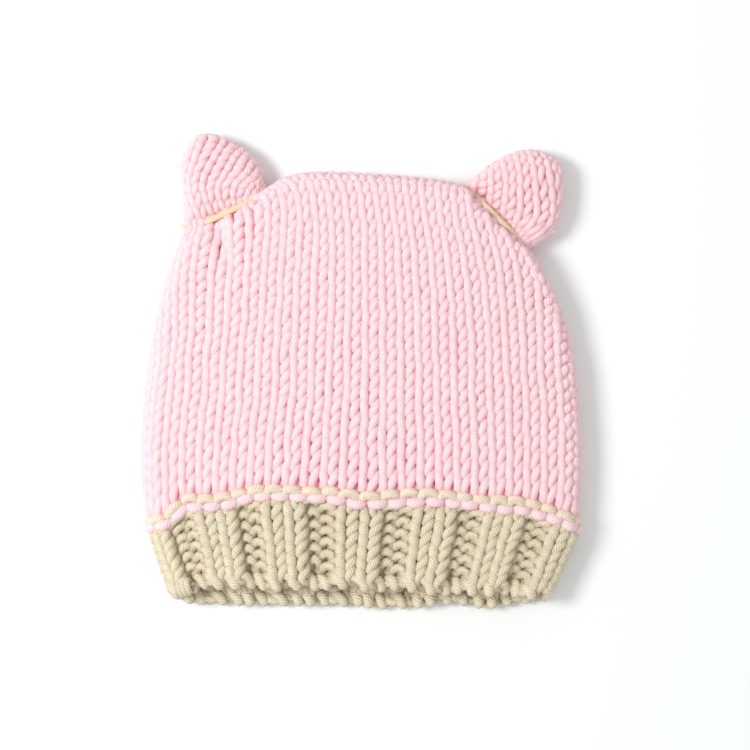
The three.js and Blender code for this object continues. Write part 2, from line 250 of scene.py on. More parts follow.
def smoothstep(x, low, high):
    t = np.clip((x - low) / (high - low), 0.0, 1.0)
    return t * t * (3 - 2 * t)


def column(table, name, across):
    """A smooth curve through one column of a table, as in the part's source."""
    places = np.array(table["across"], float)
    values = np.array(table[name], float)
    across = np.asarray(across, float)
    last = len(places) - 2
    i = np.clip(np.searchsorted(places, across, side="right") - 1, 0, last)
    span = places[i + 1] - places[i]
    t = np.clip((across - places[i]) / span, 0.0, 1.0)

    def slope(a, b):
        return (values[b] - values[a]) / (places[b] - places[a])

    before = slope(np.maximum(i - 1, 0), i + 1) * span
    after = slope(i, np.minimum(i + 2, last + 1)) * span
    rise = values[i + 1] - values[i]
    bend = 3 * rise - 2 * before - after
    turn = before + after - 2 * rise
    return values[i] + t * (before + t * (bend + t * turn))


def spline(values, t):
    """A uniform spline through all the values, for t from 0 to 1."""
    p = np.array(values, float)
    n = len(p)
    place = (n - 1) * np.clip(t, 0.0, 1.0)
    i = np.minimum(np.floor(place).astype(int), n - 1)
    w = place - i
    p0 = p[np.maximum(i - 1, 0)]
    p1 = p[i]
    p2 = p[np.minimum(i + 1, n - 1)]
    p3 = p[np.minimum(i + 2, n - 1)]
    v0 = (p2 - p0) * 0.5
    v1 = (p3 - p1) * 0.5
    cubic = 2 * p1 - 2 * p2 + v0 + v1
    square = -3 * p1 + 3 * p2 - 2 * v0 - v1
    return cubic * w**3 + square * w**2 + v0 * w + p1


def round_edge(distance, radius):
    """How full a form is at a distance from its rounded edge, from 0 to 1."""
    inside = np.clip(1 - distance / radius, 0.0, 1.0)
    return np.sqrt(1 - inside * inside)


def side_fold(side, up):
    """A side of the crown, seen from above, from the colour change at 0 to the tie at 1."""
    xs, ys = (SIDE_X_LEFT, SIDE_Y_LEFT) if side == "left" else (SIDE_X_RIGHT, SIDE_Y_RIGHT)
    return spline(xs, up) * HAT_WIDTH / 2, spline(ys, up) * CROWN_LENGTH


def top_edge(across):
    """The tie on the left, the fold at the top, then the tie on the right."""
    x = column(TOP_FOLD, "x", across) * HAT_WIDTH / 2
    y = column(TOP_FOLD, "y", across) * CROWN_LENGTH
    left_outer = side_fold("left", 1.0)
    right_outer = side_fold("right", 1.0)
    inner = [
        (TOP_FOLD["x"][k] * HAT_WIDTH / 2, TOP_FOLD["y"][k] * CROWN_LENGTH) for k in (0, -1)
    ]
    t_left = across / TIE_SHARE
    t_right = (across - 1 + TIE_SHARE) / TIE_SHARE
    on_left = across < TIE_SHARE
    on_right = across > 1 - TIE_SHARE
    x = np.where(on_left, lerp(left_outer[0], inner[0][0], t_left), x)
    y = np.where(on_left, lerp(left_outer[1], inner[0][1], t_left), y)
    x = np.where(on_right, lerp(inner[1][0], right_outer[0], t_right), x)
    y = np.where(on_right, lerp(inner[1][1], right_outer[1], t_right), y)
    return x, y


def lower_edge(across, upper):
    x = lerp(SIDE_X_LEFT[0], SIDE_X_RIGHT[0], across) * HAT_WIDTH / 2
    y = np.where(
        upper, column(COLOUR_CHANGE, "upper", across), column(COLOUR_CHANGE, "lower", across)
    )
    return x, y * CROWN_LENGTH


def hem_edge(across, upper):
    x = lerp(HEM_LEFT_X, HEM_RIGHT_X, across) * HAT_WIDTH / 2
    y = np.where(upper, column(HEM, "upper", across), column(HEM, "lower", across))
    return x, y * BRIM_LENGTH


def face_height(across, middle):
    """How high the upper layer lies: full in the middle, the fold's height at the sides."""
    from_middle = 2 * across - 1
    return lerp(middle, FOLD_HEIGHT, from_middle**2)


def across_from_fabric(share):
    """Even steps along the fabric, over its side folds, as shares of the width seen from above."""
    arc = math.pi / 2 * FOLD_RADIUS
    fabric = HAT_WIDTH - 2 * FOLD_RADIUS + 2 * arc
    along = np.minimum(share, 1 - share) * fabric
    bent = FOLD_RADIUS * (1 - np.cos(np.clip(along, 0, arc) / FOLD_RADIUS))
    plan = np.where(along < arc, bent, FOLD_RADIUS + along - arc)
    return np.where(share < 0.5, plan / HAT_WIDTH, 1 - plan / HAT_WIDTH)


def layer_at(around):
    """Which layer a place on the way round is on, and its share of the fabric's width."""
    around = np.mod(around, 1.0)
    upper = around <= 0.5
    return upper, np.where(upper, 2 * around, 2 - 2 * around)


def layer_height(upper, top, fullness):
    return lerp(FOLD_RADIUS, np.where(upper, top, 0.0), fullness)


def beside_tie(share):
    """Whether a share of the fabric's width is drawn in by a tie."""
    return (share < DRAWN[1]) | (share > DRAWN[2])


def on_top_fold(side):
    """0 at the ties and 1 along the fold at the top, by the distance from the nearer side fold."""
    return smoothstep(side, TIE_SHARE - 0.04, TIE_SHARE + 0.01)


def gather(along_tie, distance):
    """The small folds drawn in by a tie: how deep below the face."""
    fade = 1 - smoothstep(distance, GATHER_REACH / 2, 2 * GATHER_REACH)
    wave = (1 - np.cos(2 * math.pi * GATHER_FOLDS * along_tie)) / 2
    return np.where((along_tie >= 0) & (along_tie <= 1), GATHER_DEPTH * wave * fade, 0.0)


def crease(up):
    """The crease below the left tie: where it runs across the hat, and how strong it is."""
    place = np.interp(up, CREASE["up"], CREASE["across"])
    return place, smoothstep(up, *CREASE["fade"])


def crown_plan(across, up):
    """The crown seen from above: x, y, and the share of the way up that this is."""
    arc = math.pi / 2 * FOLD_RADIUS
    fabric = CROWN_LENGTH - FOLD_RADIUS + arc
    to_top = (1 - up) * fabric
    bent = FOLD_RADIUS * (1 - np.cos(np.clip(to_top, 0, arc) / FOLD_RADIUS))
    folded = 1 - np.where(to_top < arc, bent, FOLD_RADIUS + to_top - arc) / CROWN_LENGTH
    side = np.minimum(across, 1 - across)
    t = lerp(up, folded, on_top_fold(side))
    low = lower_edge(across, True)
    high = top_edge(across)
    left = side_fold("left", t)
    right = side_fold("right", t)
    ends_low = lower_edge(np.array([0.0, 1.0]), True)
    ends_high = (side_fold("left", 1.0), side_fold("right", 1.0))
    plan = []
    for axis in (0, 1):
        corner = lerp(
            lerp(ends_low[axis][0], ends_low[axis][1], across),
            lerp(ends_high[0][axis], ends_high[1][axis], across),
            t,
        )
        edges = lerp(low[axis], high[axis], t) + lerp(left[axis], right[axis], across)
        plan.append(edges - corner)
    return plan[0], plan[1], t


def rolled(around, up):
    """The columns beside the ears, rolled under the edges by the pull of the ties."""
    pull = smoothstep(up, 0.5, 1.0)
    from_left = np.mod(around + 0.5, 1.0) - 0.5
    from_right = around - 0.5
    left = np.cos(np.clip(from_left / (DRAWN[1] / 2), -1, 1) * math.pi / 2) ** 2
    right = np.cos(np.clip(from_right / (0.5 - DRAWN[2] / 2), -1, 1) * math.pi / 2) ** 2
    return np.mod(around + pull * (ROLLED_RIGHT * right - ROLLED_LEFT * left), 1.0)


def crown_face(around, up):
    """The crown's smooth face; past 1 it goes over the fold at the top onto the other layer."""
    around = rolled(np.mod(around, 1.0), np.minimum(up, 1.0))
    up = np.where(beside_tie(layer_at(around)[1]), np.minimum(up, 1.0), up)
    over = up > 1.0
    around = np.where(over, np.mod(1 - around, 1.0), around)
    up = np.where(over, 2 - up, up)
    upper, share = layer_at(around)
    even = across_from_fabric(share)
    drawn_in = np.clip((up - DRAWN_FROM) / (1 - DRAWN_FROM), 0, 1) ** 4
    wanted = lerp(even, np.interp(even, DRAWN, TIE_ENDS), drawn_in)
    place, strength = crease(up)
    off = wanted - place
    pull = CREASE_PULL * strength * off * np.exp(-((off / CREASE_REACH) ** 2))
    wanted = wanted - np.where(upper, pull, 0.0)
    across = wanted  # as wide a share as is wanted, found in a few steps
    for _ in range(4):
        x, y, t = crown_plan(across, up)
        left_x = side_fold("left", t)[0]
        right_x = side_fold("right", t)[0]
        across = across + wanted - (x - left_x) / (right_x - left_x)
        across = np.clip(across, 0.0, 1.0)
    x, y, t = crown_plan(across, up)
    y = y - (lower_edge(across, True)[1] - lower_edge(across, upper)[1]) * (1 - t) ** 2
    side = np.minimum(across, 1 - across)
    from_top = (1 - t) * CROWN_LENGTH
    sag = np.where(across < 0.5, TIE_SAG["left"], TIE_SAG["right"])
    neck = lerp(NECK_HALF / FOLD_RADIUS, 1.0, smoothstep(from_top - sag, 0, GATHER_REACH))
    top_fullness = lerp(neck, round_edge(from_top, FOLD_RADIUS), on_top_fold(side))
    fullness = round_edge(side * HAT_WIDTH, FOLD_RADIUS) * top_fullness
    z = layer_height(upper, face_height(across, CROWN_HEIGHT), fullness)
    z = z - gather(side / TIE_SHARE, from_top) * np.sign(z - FOLD_RADIUS)
    sink = CREASE_DEPTH * strength * np.exp(-(((across - place) / CREASE_WIDTH) ** 2))
    z = z - np.where(upper, sink, 0.0)
    return np.stack([x, y, z], axis=-1)


def brim_face(around, up):
    """The brim's smooth face, from the hem at -1 to the colour change at 0."""
    down = -up
    upper, share = layer_at(around)
    across = across_from_fabric(share)
    low = lower_edge(across, upper)
    hem = hem_edge(across, upper)
    x = lerp(low[0], hem[0], down)
    y = lerp(low[1], hem[1], down)
    from_fold = np.minimum(across, 1 - across) * HAT_WIDTH
    z = layer_height(upper, face_height(across, BRIM_HEIGHT), round_edge(from_fold, FOLD_RADIUS))
    return np.stack([x, y, z], axis=-1)


def rib_valley(around):
    """How far the fabric sinks between the ribs, and how far it stands proud on them."""
    around = np.mod(around, 1.0)
    # the table begins a little before the left fold
    rib = column(RIB_PLACES, "rib", np.where(around > 0.97, around - 1, around))
    from_rib = np.abs(rib - np.round(rib))
    sunk = smoothstep(from_rib, *VALLEY_EDGES)
    upper = layer_at(around)[0]
    return np.where(upper, lerp(-RIB_SWELL, VALLEY * RIB_DEPTH, sunk), RIB_DEPTH * sunk)


def unit(v):
    return v / np.maximum(np.linalg.norm(v, axis=-1, keepdims=True), 1e-9)


def with_depth(face, around, along, depth):
    """Points at a depth below a face, square to it."""
    step = 0.0015
    way = face(around + step, along) - face(around - step, along)
    rise = face(around, along + step) - face(around, along - step)
    outward = unit(np.cross(way, rise))
    return face(around, along) - outward * depth[..., None], outward


# The table of ribs, read the other way round
WAY_ROUND = np.linspace(-0.1, 1.0, 2201)
RIBS_ROUND = column(RIB_PLACES, "rib", WAY_ROUND)


def around_from_rib(rib):
    """Where a place counted in ribs lies round the hat, also past the first and the last rib."""
    wrapped = np.mod(rib + 0.5, RIB_COUNT) - 0.5
    return np.interp(wrapped, RIBS_ROUND, WAY_ROUND) + (rib - wrapped) / RIB_COUNT


def rib_columns(col):
    """In the brim, the two knit columns of a rib take more of its width than the two purl ones."""
    turn = np.floor(col / 4)
    inside = col - 4 * turn
    shares = (-KNIT_SHARE, 0.0, KNIT_SHARE, 0.5, 1 - KNIT_SHARE)
    return around_from_rib(turn + np.interp(inside, (0, 1, 2, 3, 4), shares))


def even_columns(col):
    return (col - FIRST_COLUMN) / STITCHES


def crown_columns(col, row):
    """The crown's columns are even; their places drift from over the ribs to their own."""
    drift = smoothstep(row, RIDGE_ROW, RIDGE_ROW + DRIFT_ROWS)
    return lerp(around_from_rib((col - 1) / 4), even_columns(col), drift)


def knit_kind(col, row):
    """1 for a knit stitch and -1 for a purl stitch, seen from outside."""
    inside = np.mod(np.floor(col), 4)
    rib = np.where(inside < 2, 1.0, -1.0)
    kind = np.where(row < BRIM_ROWS, rib, 1.0)
    return np.where(row == BRIM_ROWS, -1.0, kind)


def at_foot(change, place):
    """A change that is full at a loop's foot and fades out above it."""
    size, low, high = change
    return size * (1 - smoothstep(place, low, high))


def at_head(change, place):
    """A change that fades in towards a loop's head."""
    size, low, high = change
    return size * smoothstep(place, low, high)


def brim_loops(row, col, bump, own, above, stand):
    """How the brim's loops stand, and how far up their heads reach, in rows."""
    height = HEIGHT
    if row == RIDGE_ROW - 1:
        stand = stand + at_head(CREST_HEADS_OUT, bump)
        height = height + CREST_HIGHER
    if row > 0:
        stand = stand - (own < 0) * at_foot(PURL_FEET_IN, bump)
    if row < RIDGE_ROW - 1:
        stand = stand + (above < 0) * at_head(PURL_HEADS_OUT, bump)
        stagger = np.where(np.mod(col, 4) == 2, PURL_STAGGER, -PURL_STAGGER)
        height = height + stagger * (above < 0)
    return stand, height


def loop_thickness(row, in_hat, phi, bump, own):
    """How thick the yarn looks along its loops: full on top, thinner where it dips."""
    if in_hat and row == RIDGE_ROW - 1:
        return 1 + at_head(CREST_HEADS_FULLER, bump)
    left_leg = np.maximum(np.sin(phi), 0) * (own > 0)
    if in_hat and row < RIDGE_ROW:
        return 1 + BRIM_LEFT_FULLER * left_leg - (own < 0) * at_foot(PURL_FEET_THINNER, bump)
    thick = CROWN_THICKNESS + CROWN_LEFT_FULLER * left_leg
    if row > RIDGE_ROW:
        thick = thick + at_foot(CROWN_FEET_FULLER, bump)
    right_leg = (np.sin(phi) < 0) * smoothstep(bump, 0.1, 0.3) * (1 - np.abs(np.sin(phi)))
    thick = thick - CROWN_RIGHT_TAPER * right_leg
    if in_hat and row == RIDGE_ROW:
        thick = thick + at_foot(RIDGE_FEET_FULLER, bump)
    return thick


def stitches(cols, row, kind):
    """The yarn of one row of loops: column, row, stand and thickness, for each point along it."""
    col = np.floor(cols)
    phi = 2 * math.pi * (cols - col)
    own = kind(col, row)
    above = kind(col, row + 1)
    before = kind(col - 1, row)
    after = kind(col + 1, row)
    bump = (1 - np.cos(phi)) / 2
    ease = (1 - np.cos(2 * phi)) / 2
    quarter = np.floor(phi / (math.pi / 2) + 1e-9)
    quarters = [quarter <= 0, quarter == 1, quarter == 2]
    start = np.select(quarters, [-(own + before) / 2, own, -above], own)
    stop = np.select(quarters, [own, -above, own], -(own + after) / 2)
    stand = lerp(start, stop, np.where(np.mod(quarter, 2) < 0.5, ease, 1 - ease))
    in_hat = kind is knit_kind
    height = HEIGHT
    if in_hat and row == RIDGE_ROW:
        stand = stand + at_foot(RIDGE_FEET_OUT, bump)
    if in_hat and row < RIDGE_ROW:
        stand, height = brim_loops(row, col, bump, own, above, stand)
    dip = UNDER_DIP * np.exp(-(((bump * height - UNDER_AT) / UNDER_REACH) ** 2))
    stand = stand - np.where((own > 0) & (above < 0), dip, 0.0)
    width = WIDTH + SLANT * (own > 0) * (np.sin(phi) < 0)
    purl = lerp(np.where(own < 0, 1.0, 0.0), np.where(above < 0, 1.0, 0.0), bump)
    along = cols + (width + PURL_WIDER * purl) * np.sin(2 * phi) + LEAN * bump
    return along, row + height * bump, stand, loop_thickness(row, in_hat, phi, bump, own)


def wander(change, col, row, loose=1.0):
    """A smooth drift over the fabric, as no two hand stitches are the same."""
    seed, size = change
    lattice = np.random.default_rng(seed).uniform(-1, 1, (STITCHES, WANDER_ROWS))
    col = np.mod(col, STITCHES)
    row = np.clip(row + WANDER_ROWS_BELOW, 0, WANDER_ROWS - 1.01)
    i = np.floor(col).astype(int)
    k = np.floor(row).astype(int)
    u = smoothstep(col - i, 0, 1)
    w = smoothstep(row - k, 0, 1)
    after = (i + 1) % STITCHES
    low = lerp(lattice[i, k], lattice[after, k], u)
    high = lerp(lattice[i, k + 1], lattice[after, k + 1], u)
    return size * loose * lerp(low, high, w)


def yarn_piece(name, strands, radius, sides, material):
    """Yarn laid along each strand's path, as one mesh; how deep each place lies sets its painted
    shade.
    """
    curve = bpy.data.curves.new(name, "CURVE")
    curve.dimensions = "3D"
    for points, _, _, thick, closed in strands:
        path = curve.splines.new("POLY")
        path.points.add(len(points) - 1)
        flat = np.ones((len(points), 4))
        flat[:, :3] = (points + SHIFT) / 1000
        path.points.foreach_set("co", flat.ravel())
        path.points.foreach_set("radius", thick)
        path.use_cyclic_u = closed
    laid = bpy.data.objects.new(name + "_path", curve)
    bpy.context.scene.collection.objects.link(laid)
    spin = laid.modifiers.new("spun", "NODES")
    spin.node_group = yarn_nodes(radius / 1000, sides)
    bpy.context.view_layer.update()
    graph = bpy.context.evaluated_depsgraph_get()
    mesh = bpy.data.meshes.new_from_object(laid.evaluated_get(graph), depsgraph=graph)
    mesh.name = name
    bpy.data.objects.remove(laid)
    middle, outward, stand = (
        np.repeat(np.concatenate([strand[part] for strand in strands]), sides, axis=0)
        for part in (0, 1, 2)
    )
    place = np.empty(3 * len(mesh.vertices))
    mesh.vertices.foreach_get("co", place)
    height = ((place.reshape(-1, 3) * 1000 - SHIFT - middle) * outward).sum(axis=1)
    # Painted shade: a place deep between the loops has its colour mixed towards a darker one
    sunk = 1 - smoothstep(np.abs(height + LOOP_DEPTH * stand), SUNK_LOW, SUNK_HIGH)
    mesh.attributes.new("sunk", "FLOAT", "POINT").data.foreach_set("value", sunk)
    piece = bpy.data.objects.new(name, mesh)
    bpy.context.scene.collection.objects.link(piece)
    mesh.materials.clear()
    mesh.materials.append(material)
    return piece


def yarn_nodes(radius, sides):
    """A strand round each path, with its place along and round the strand kept for the material."""
    tree = bpy.data.node_groups.new("spun yarn", "GeometryNodeTree")
    tree.interface.new_socket("Geometry", in_out="INPUT", socket_type="NodeSocketGeometry")
    tree.interface.new_socket("Geometry", in_out="OUTPUT", socket_type="NodeSocketGeometry")
    add = tree.nodes.new
    link = tree.links.new
    start = add("NodeGroupInput")
    end = add("NodeGroupOutput")
    parameter = add("GeometryNodeSplineParameter")
    keep_length = add("GeometryNodeStoreNamedAttribute")
    keep_length.data_type = "FLOAT"
    keep_length.domain = "POINT"
    keep_length.inputs["Name"].default_value = "along"
    link(start.outputs[0], keep_length.inputs["Geometry"])
    link(parameter.outputs["Length"], keep_length.inputs["Value"])
    ring = add("GeometryNodeCurvePrimitiveCircle")
    ring.inputs["Resolution"].default_value = sides
    ring.inputs["Radius"].default_value = radius
    place = add("GeometryNodeInputPosition")
    scale = add("ShaderNodeVectorMath")
    scale.operation = "SCALE"
    scale.inputs["Scale"].default_value = 1 / radius
    link(place.outputs[0], scale.inputs[0])
    keep_turn = add("GeometryNodeStoreNamedAttribute")
    keep_turn.data_type = "FLOAT_VECTOR"
    keep_turn.domain = "POINT"
    keep_turn.inputs["Name"].default_value = "turn"
    link(ring.outputs["Curve"], keep_turn.inputs["Geometry"])
    link(scale.outputs[0], keep_turn.inputs["Value"])
    sweep = add("GeometryNodeCurveToMesh")
    sweep.inputs["Fill Caps"].default_value = True
    thickness = add("GeometryNodeInputRadius")
    link(thickness.outputs[0], sweep.inputs["Scale"])
    link(keep_length.outputs[0], sweep.inputs["Curve"])
    link(keep_turn.outputs[0], sweep.inputs["Profile Curve"])
    smooth = add("GeometryNodeSetShadeSmooth")
    link(sweep.outputs[0], smooth.inputs[0])
    link(smooth.outputs[0], end.inputs[0])
    return tree


def twist_group():
    """The yarn's plies and fibres, wound round the strand: a height, and painted shade in the
    hollows.
    """
    group = bpy.data.node_groups.new("yarn twist", "ShaderNodeTree")
    inputs = {"Plies": 6.0, "Fibres": 14.0, "Turns per metre": 1150.0, "Roughening": 1.0}
    for name, value in inputs.items():
        socket = group.interface.new_socket(name, in_out="INPUT", socket_type="NodeSocketFloat")
        socket.default_value = value
    for name in ("Height", "Hollow"):
        group.interface.new_socket(name, in_out="OUTPUT", socket_type="NodeSocketFloat")
    add = group.nodes.new
    link = group.links.new
    start = add("NodeGroupInput")
    end = add("NodeGroupOutput")
    turn = add("ShaderNodeAttribute")
    turn.attribute_name = "turn"
    along = add("ShaderNodeAttribute")
    along.attribute_name = "along"
    parts = add("ShaderNodeSeparateXYZ")
    link(turn.outputs["Vector"], parts.inputs[0])

    def maths(operation, a, b=None, c=None):
        node = add("ShaderNodeMath")
        node.operation = operation
        for socket, value in zip(node.inputs, (a, b, c)):
            if value is None:
                continue
            if isinstance(value, (int, float)):
                socket.default_value = value
            else:
                link(value, socket)
        return node.outputs[0]

    angle = maths("ARCTAN2", parts.outputs["Y"], parts.outputs["X"])
    turns = maths("MULTIPLY", along.outputs["Fac"], start.outputs["Turns per metre"])
    spun = maths("MULTIPLY", turns, 2 * math.pi)
    place = add("ShaderNodeTexCoord")
    ruffle = add("ShaderNodeTexNoise")
    ruffle.inputs["Scale"].default_value = 900
    ruffle.inputs["Detail"].default_value = 2
    link(place.outputs["Object"], ruffle.inputs["Vector"])
    drift = maths("MULTIPLY", maths("SUBTRACT", ruffle.outputs[0], 0.5), start.outputs["Roughening"])
    ply = maths("ADD", maths("MULTIPLY", angle, start.outputs["Plies"]), spun)
    ply_height = maths("ABSOLUTE", maths("SINE", maths("MULTIPLY", ply, 0.5)))
    round_strand = maths("MULTIPLY", angle, start.outputs["Fibres"])
    fibre = maths("ADD", round_strand, maths("MULTIPLY", spun, 3.0))
    fibre = maths("SINE", maths("ADD", fibre, maths("MULTIPLY", drift, 6.0)))
    fine = maths("ADD", maths("MULTIPLY", fibre, 0.16), maths("MULTIPLY", drift, 0.6))
    link(maths("ADD", ply_height, fine), end.inputs["Height"])
    # Painted shade in the hollows between the plies, streaked along the fibres
    streaks = maths("ADD", maths("MULTIPLY", fibre, 0.25), 0.75)
    hollow = maths("SUBTRACT", 1.0, maths("MULTIPLY", ply_height, streaks))
    link(hollow, end.inputs["Hollow"])
    return group


TWIST = twist_group()


def yarn_material(name, colour, deep, bump, ply_shade_share, loop_shade_share, painted_bounce_light=None):
    """Soft spun yarn, with painted shade in a deeper colour between the plies and between the loops.
    """
    material = bpy.data.materials.new(name)
    material.use_nodes = True
    tree = material.node_tree
    shader = tree.nodes["Principled BSDF"]
    twist = tree.nodes.new("ShaderNodeGroup")
    twist.node_tree = TWIST
    # Painted shade: the hollows between the plies and the places deep between the loops mix the
    # colour towards the deeper one
    sunk = tree.nodes.new("ShaderNodeAttribute")
    sunk.attribute_name = "sunk"
    shares = []
    sources = ((twist.outputs["Hollow"], ply_shade_share), (sunk.outputs["Fac"], loop_shade_share))
    for source, share in sources:
        part = tree.nodes.new("ShaderNodeMath")
        part.operation = "MULTIPLY"
        part.inputs[1].default_value = share
        tree.links.new(source, part.inputs[0])
        shares.append(part)
    both = tree.nodes.new("ShaderNodeMath")
    both.operation = "ADD"
    both.use_clamp = True
    tree.links.new(shares[0].outputs[0], both.inputs[0])
    tree.links.new(shares[1].outputs[0], both.inputs[1])
    tint = tree.nodes.new("ShaderNodeMix")
    tint.data_type = "RGBA"
    tint.inputs["A"].default_value = (*colour, 1)
    tint.inputs["B"].default_value = (*deep, 1)
    tree.links.new(both.outputs[0], tint.inputs["Factor"])
    tree.links.new(tint.outputs["Result"], shader.inputs["Base Color"])
    # Painted bounce light from the pink yarn, mixed over the colour and its painted shade by a mask
    # on the mesh
    if painted_bounce_light:
        bounce_light_mask = tree.nodes.new("ShaderNodeAttribute")
        bounce_light_mask.attribute_name = "painted_bounce_light"
        bounce_lit = tree.nodes.new("ShaderNodeMix")
        bounce_lit.data_type = "RGBA"
        bounce_lit.inputs["B"].default_value = (*painted_bounce_light, 1)
        tree.links.new(bounce_light_mask.outputs["Fac"], bounce_lit.inputs["Factor"])
        tree.links.new(tint.outputs["Result"], bounce_lit.inputs["A"])
        tree.links.new(bounce_lit.outputs["Result"], shader.inputs["Base Color"])
    relief = tree.nodes.new("ShaderNodeBump")
    relief.inputs["Strength"].default_value = bump
    relief.inputs["Distance"].default_value = 0.0003
    tree.links.new(twist.outputs["Height"], relief.inputs["Height"])
    tree.links.new(relief.outputs[0], shader.inputs["Normal"])
    shader.inputs["Roughness"].default_value = 0.8
    shader.inputs["Specular IOR Level"].default_value = 0.15
    shader.inputs["Sheen Weight"].default_value = 0.05
    shader.inputs["Sheen Roughness"].default_value = 0.5
    shader.inputs["Sheen Tint"].default_value = (*colour, 1)
    return material


# Each yarn: its colour, the colour of its painted shade, its bump, and its shares of painted shade
# between the plies and between the loops
PINK = yarn_material("pink yarn", (0.972, 0.742, 0.775), (0.96, 0.34, 0.42), 0.6, 0.2, 0.8)
PINK_BOUNCE_LIGHT = (0.97, 0.8, 0.65)  # painted bounce light from the pink yarn, on the beige loops among the pink ones
BOUNCE_LIGHT_SHARE = 0.85
BOUNCE_LIGHT_RISE = (2.5, 4.5)  # where it starts and is full, above the colour change, in millimetres
BEIGE = yarn_material(
    "beige yarn", (0.92, 0.83, 0.625), (0.44, 0.34, 0.215), 1.0, 0.3, 0.6, PINK_BOUNCE_LIGHT
)
CREAM = yarn_material("cream yarn", (0.94, 0.77, 0.53), (0.85, 0.6, 0.38), 0.6, 0.3, 0.3)

# From the source's frame to the row's frame, whose origin is under the middle of the hat
brim_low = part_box("brim")[0]
crown_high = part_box("crown")[1]
SHIFT = np.array([crown_high[0] * 1000 - HAT_WIDTH / 2, brim_low[1] * 1000 + BRIM_LENGTH, 0.0])

DEPTH = YARN_RADIUS + LOOP_DEPTH
CROWN_FABRIC = CROWN_LENGTH - FOLD_RADIUS + math.pi / 2 * FOLD_RADIUS
ROW_RISE = (CROWN_FABRIC - RIDGE_RISE) / ROWS_TO_FOLD


def column_length(around):
    """How long a column of stitches is, from the colour change to a tie or to the fold at the top."""
    upper, share = layer_at(around)
    upper_length, lower_length = (np.interp(share, SHARES, lengths) for lengths in LENGTHS)
    return np.where(upper, upper_length, lower_length)


def measured_lengths():
    """The columns' lengths over the upper and the lower layer, for each share of the width."""
    # between the ties the fabric goes over the fold, so a column has the whole length there
    ups = np.linspace(0.0, 1.0, 61)
    lengths = []
    for way in (SHARES / 2, 1 - SHARES / 2):
        points = np.stack([crown_face(way, np.full(len(way), up)) for up in ups])
        length = np.linalg.norm(np.diff(points, axis=0), axis=-1).sum(axis=0)
        side = np.where(SHARES < 0.5, SHARES / DRAWN[1], (1 - SHARES) / (1 - DRAWN[2]))
        lengths.append(lerp(length, CROWN_FABRIC, smoothstep(side, 0.75, 1.0)))
    return lengths


SHARES = np.linspace(0.0, 1.0, 81)
LENGTHS = measured_lengths()


def tie_reach(share):
    """How far up its column the fabric of the hat goes at a tie."""
    sag = np.where(share < 0.5, TIE_SAG["left"], TIE_SAG["right"])
    return 1 - sag / CROWN_FABRIC


def off_tie_ends(around):
    """Keeps a place clear of the lines at the ties' inner ends, where the face has a corner."""
    clear = 0.002
    for line in (DRAWN[1] / 2, DRAWN[2] / 2, 1 - DRAWN[2] / 2, 1 - DRAWN[1] / 2):
        off = around - line
        around = line + np.where(np.abs(off) < clear, np.where(off < 0, -clear, clear), off)
    return around


def rise_of(row):
    """How far above the colour change a row's foot lies, along the fabric, in millimetres."""
    return RIDGE_RISE + (row - RIDGE_ROW) * ROW_RISE


def by_ridge(row, span):
    return smoothstep(row, RIDGE_ROW + span[0], RIDGE_ROW + span[1])


def hat_point(col, row, stand):
    """A point of the hat's fabric by its column, its row and how far it stands off the middle."""
    loose = 1 + HEM_LOOSER * (1 - smoothstep(row, 0.0, HEM_LOOSE_ROWS))
    shift = wander(COL_WANDER, col, row, loose)
    row = row + wander(ROW_WANDER, col, row, loose)
    stand = stand + wander(STAND_WANDER, col, row, loose)
    col = col + shift
    around = lerp(rib_columns(col), crown_columns(col, row), by_ridge(row, COLUMNS_SETTLE))
    around = off_tie_ends(np.mod(around, 1.0))
    up = rise_of(row) / column_length(around)
    share = layer_at(around)[1]
    reach = tie_reach(share)
    packed = reach - PACKED_BELOW_TIE + PACKING * (up - reach + PACKED_BELOW_TIE)
    short = np.minimum(np.minimum(up, packed), reach)
    up = np.where(beside_tie(share), short, up)
    on_crown, crown_out = with_depth(crown_face, around, up, DEPTH - LOOP_DEPTH * stand)
    length = BRIM_LENGTH * BRIM_ON_TOP
    span = length - HEM_RISE + RIDGE_RISE
    down = (span * (1 - row / RIDGE_ROW) - RIDGE_RISE) / length
    valley = rib_valley(around) * (1 - by_ridge(row, VALLEYS_END))
    on_brim, brim_out = with_depth(brim_face, around, -down, DEPTH + valley - LOOP_DEPTH * stand)
    blend = by_ridge(row, FACES_MEET)[..., None]
    points = lerp(on_brim, on_crown, blend)
    points[:, 2] = np.maximum(points[:, 2], YARN_RADIUS + MINIMUM_LIFT)
    return points, unit(lerp(brim_out, crown_out, blend)), stand


def course(row):
    """One row of stitches round the hat, without the stitches that a tie cuts off."""
    cols = np.arange(STITCHES * POINTS_PER_STITCH) / POINTS_PER_STITCH
    col, height, stand, thick = stitches(cols, row, knit_kind)
    laid = (*hat_point(col, height, stand), thick)
    around = np.mod(even_columns(np.floor(cols) + 0.5), 1.0)
    share = layer_at(around)[1]
    reach = (tie_reach(share) - CUT_BELOW_TIE) * column_length(around)
    cut = beside_tie(share) & (rise_of(row) > reach)
    if not cut.any():
        return [(*laid, True)]
    start = np.flatnonzero(cut)[0]
    kept = np.roll(~cut, -start)
    laid = [np.roll(part, -start, axis=0) for part in laid]
    edges = np.flatnonzero(np.diff(kept.astype(int)))
    runs = zip(edges[::2] + 1, [*edges[1::2] + 1, len(kept)][: len(edges[::2])])
    return [(*(part[low:high] for part in laid), False) for low, high in runs]


def courses(first, last):
    """The strands of the rows from the first up to, and without, the last."""
    return [strand for row in range(first, last) for strand in course(row)]


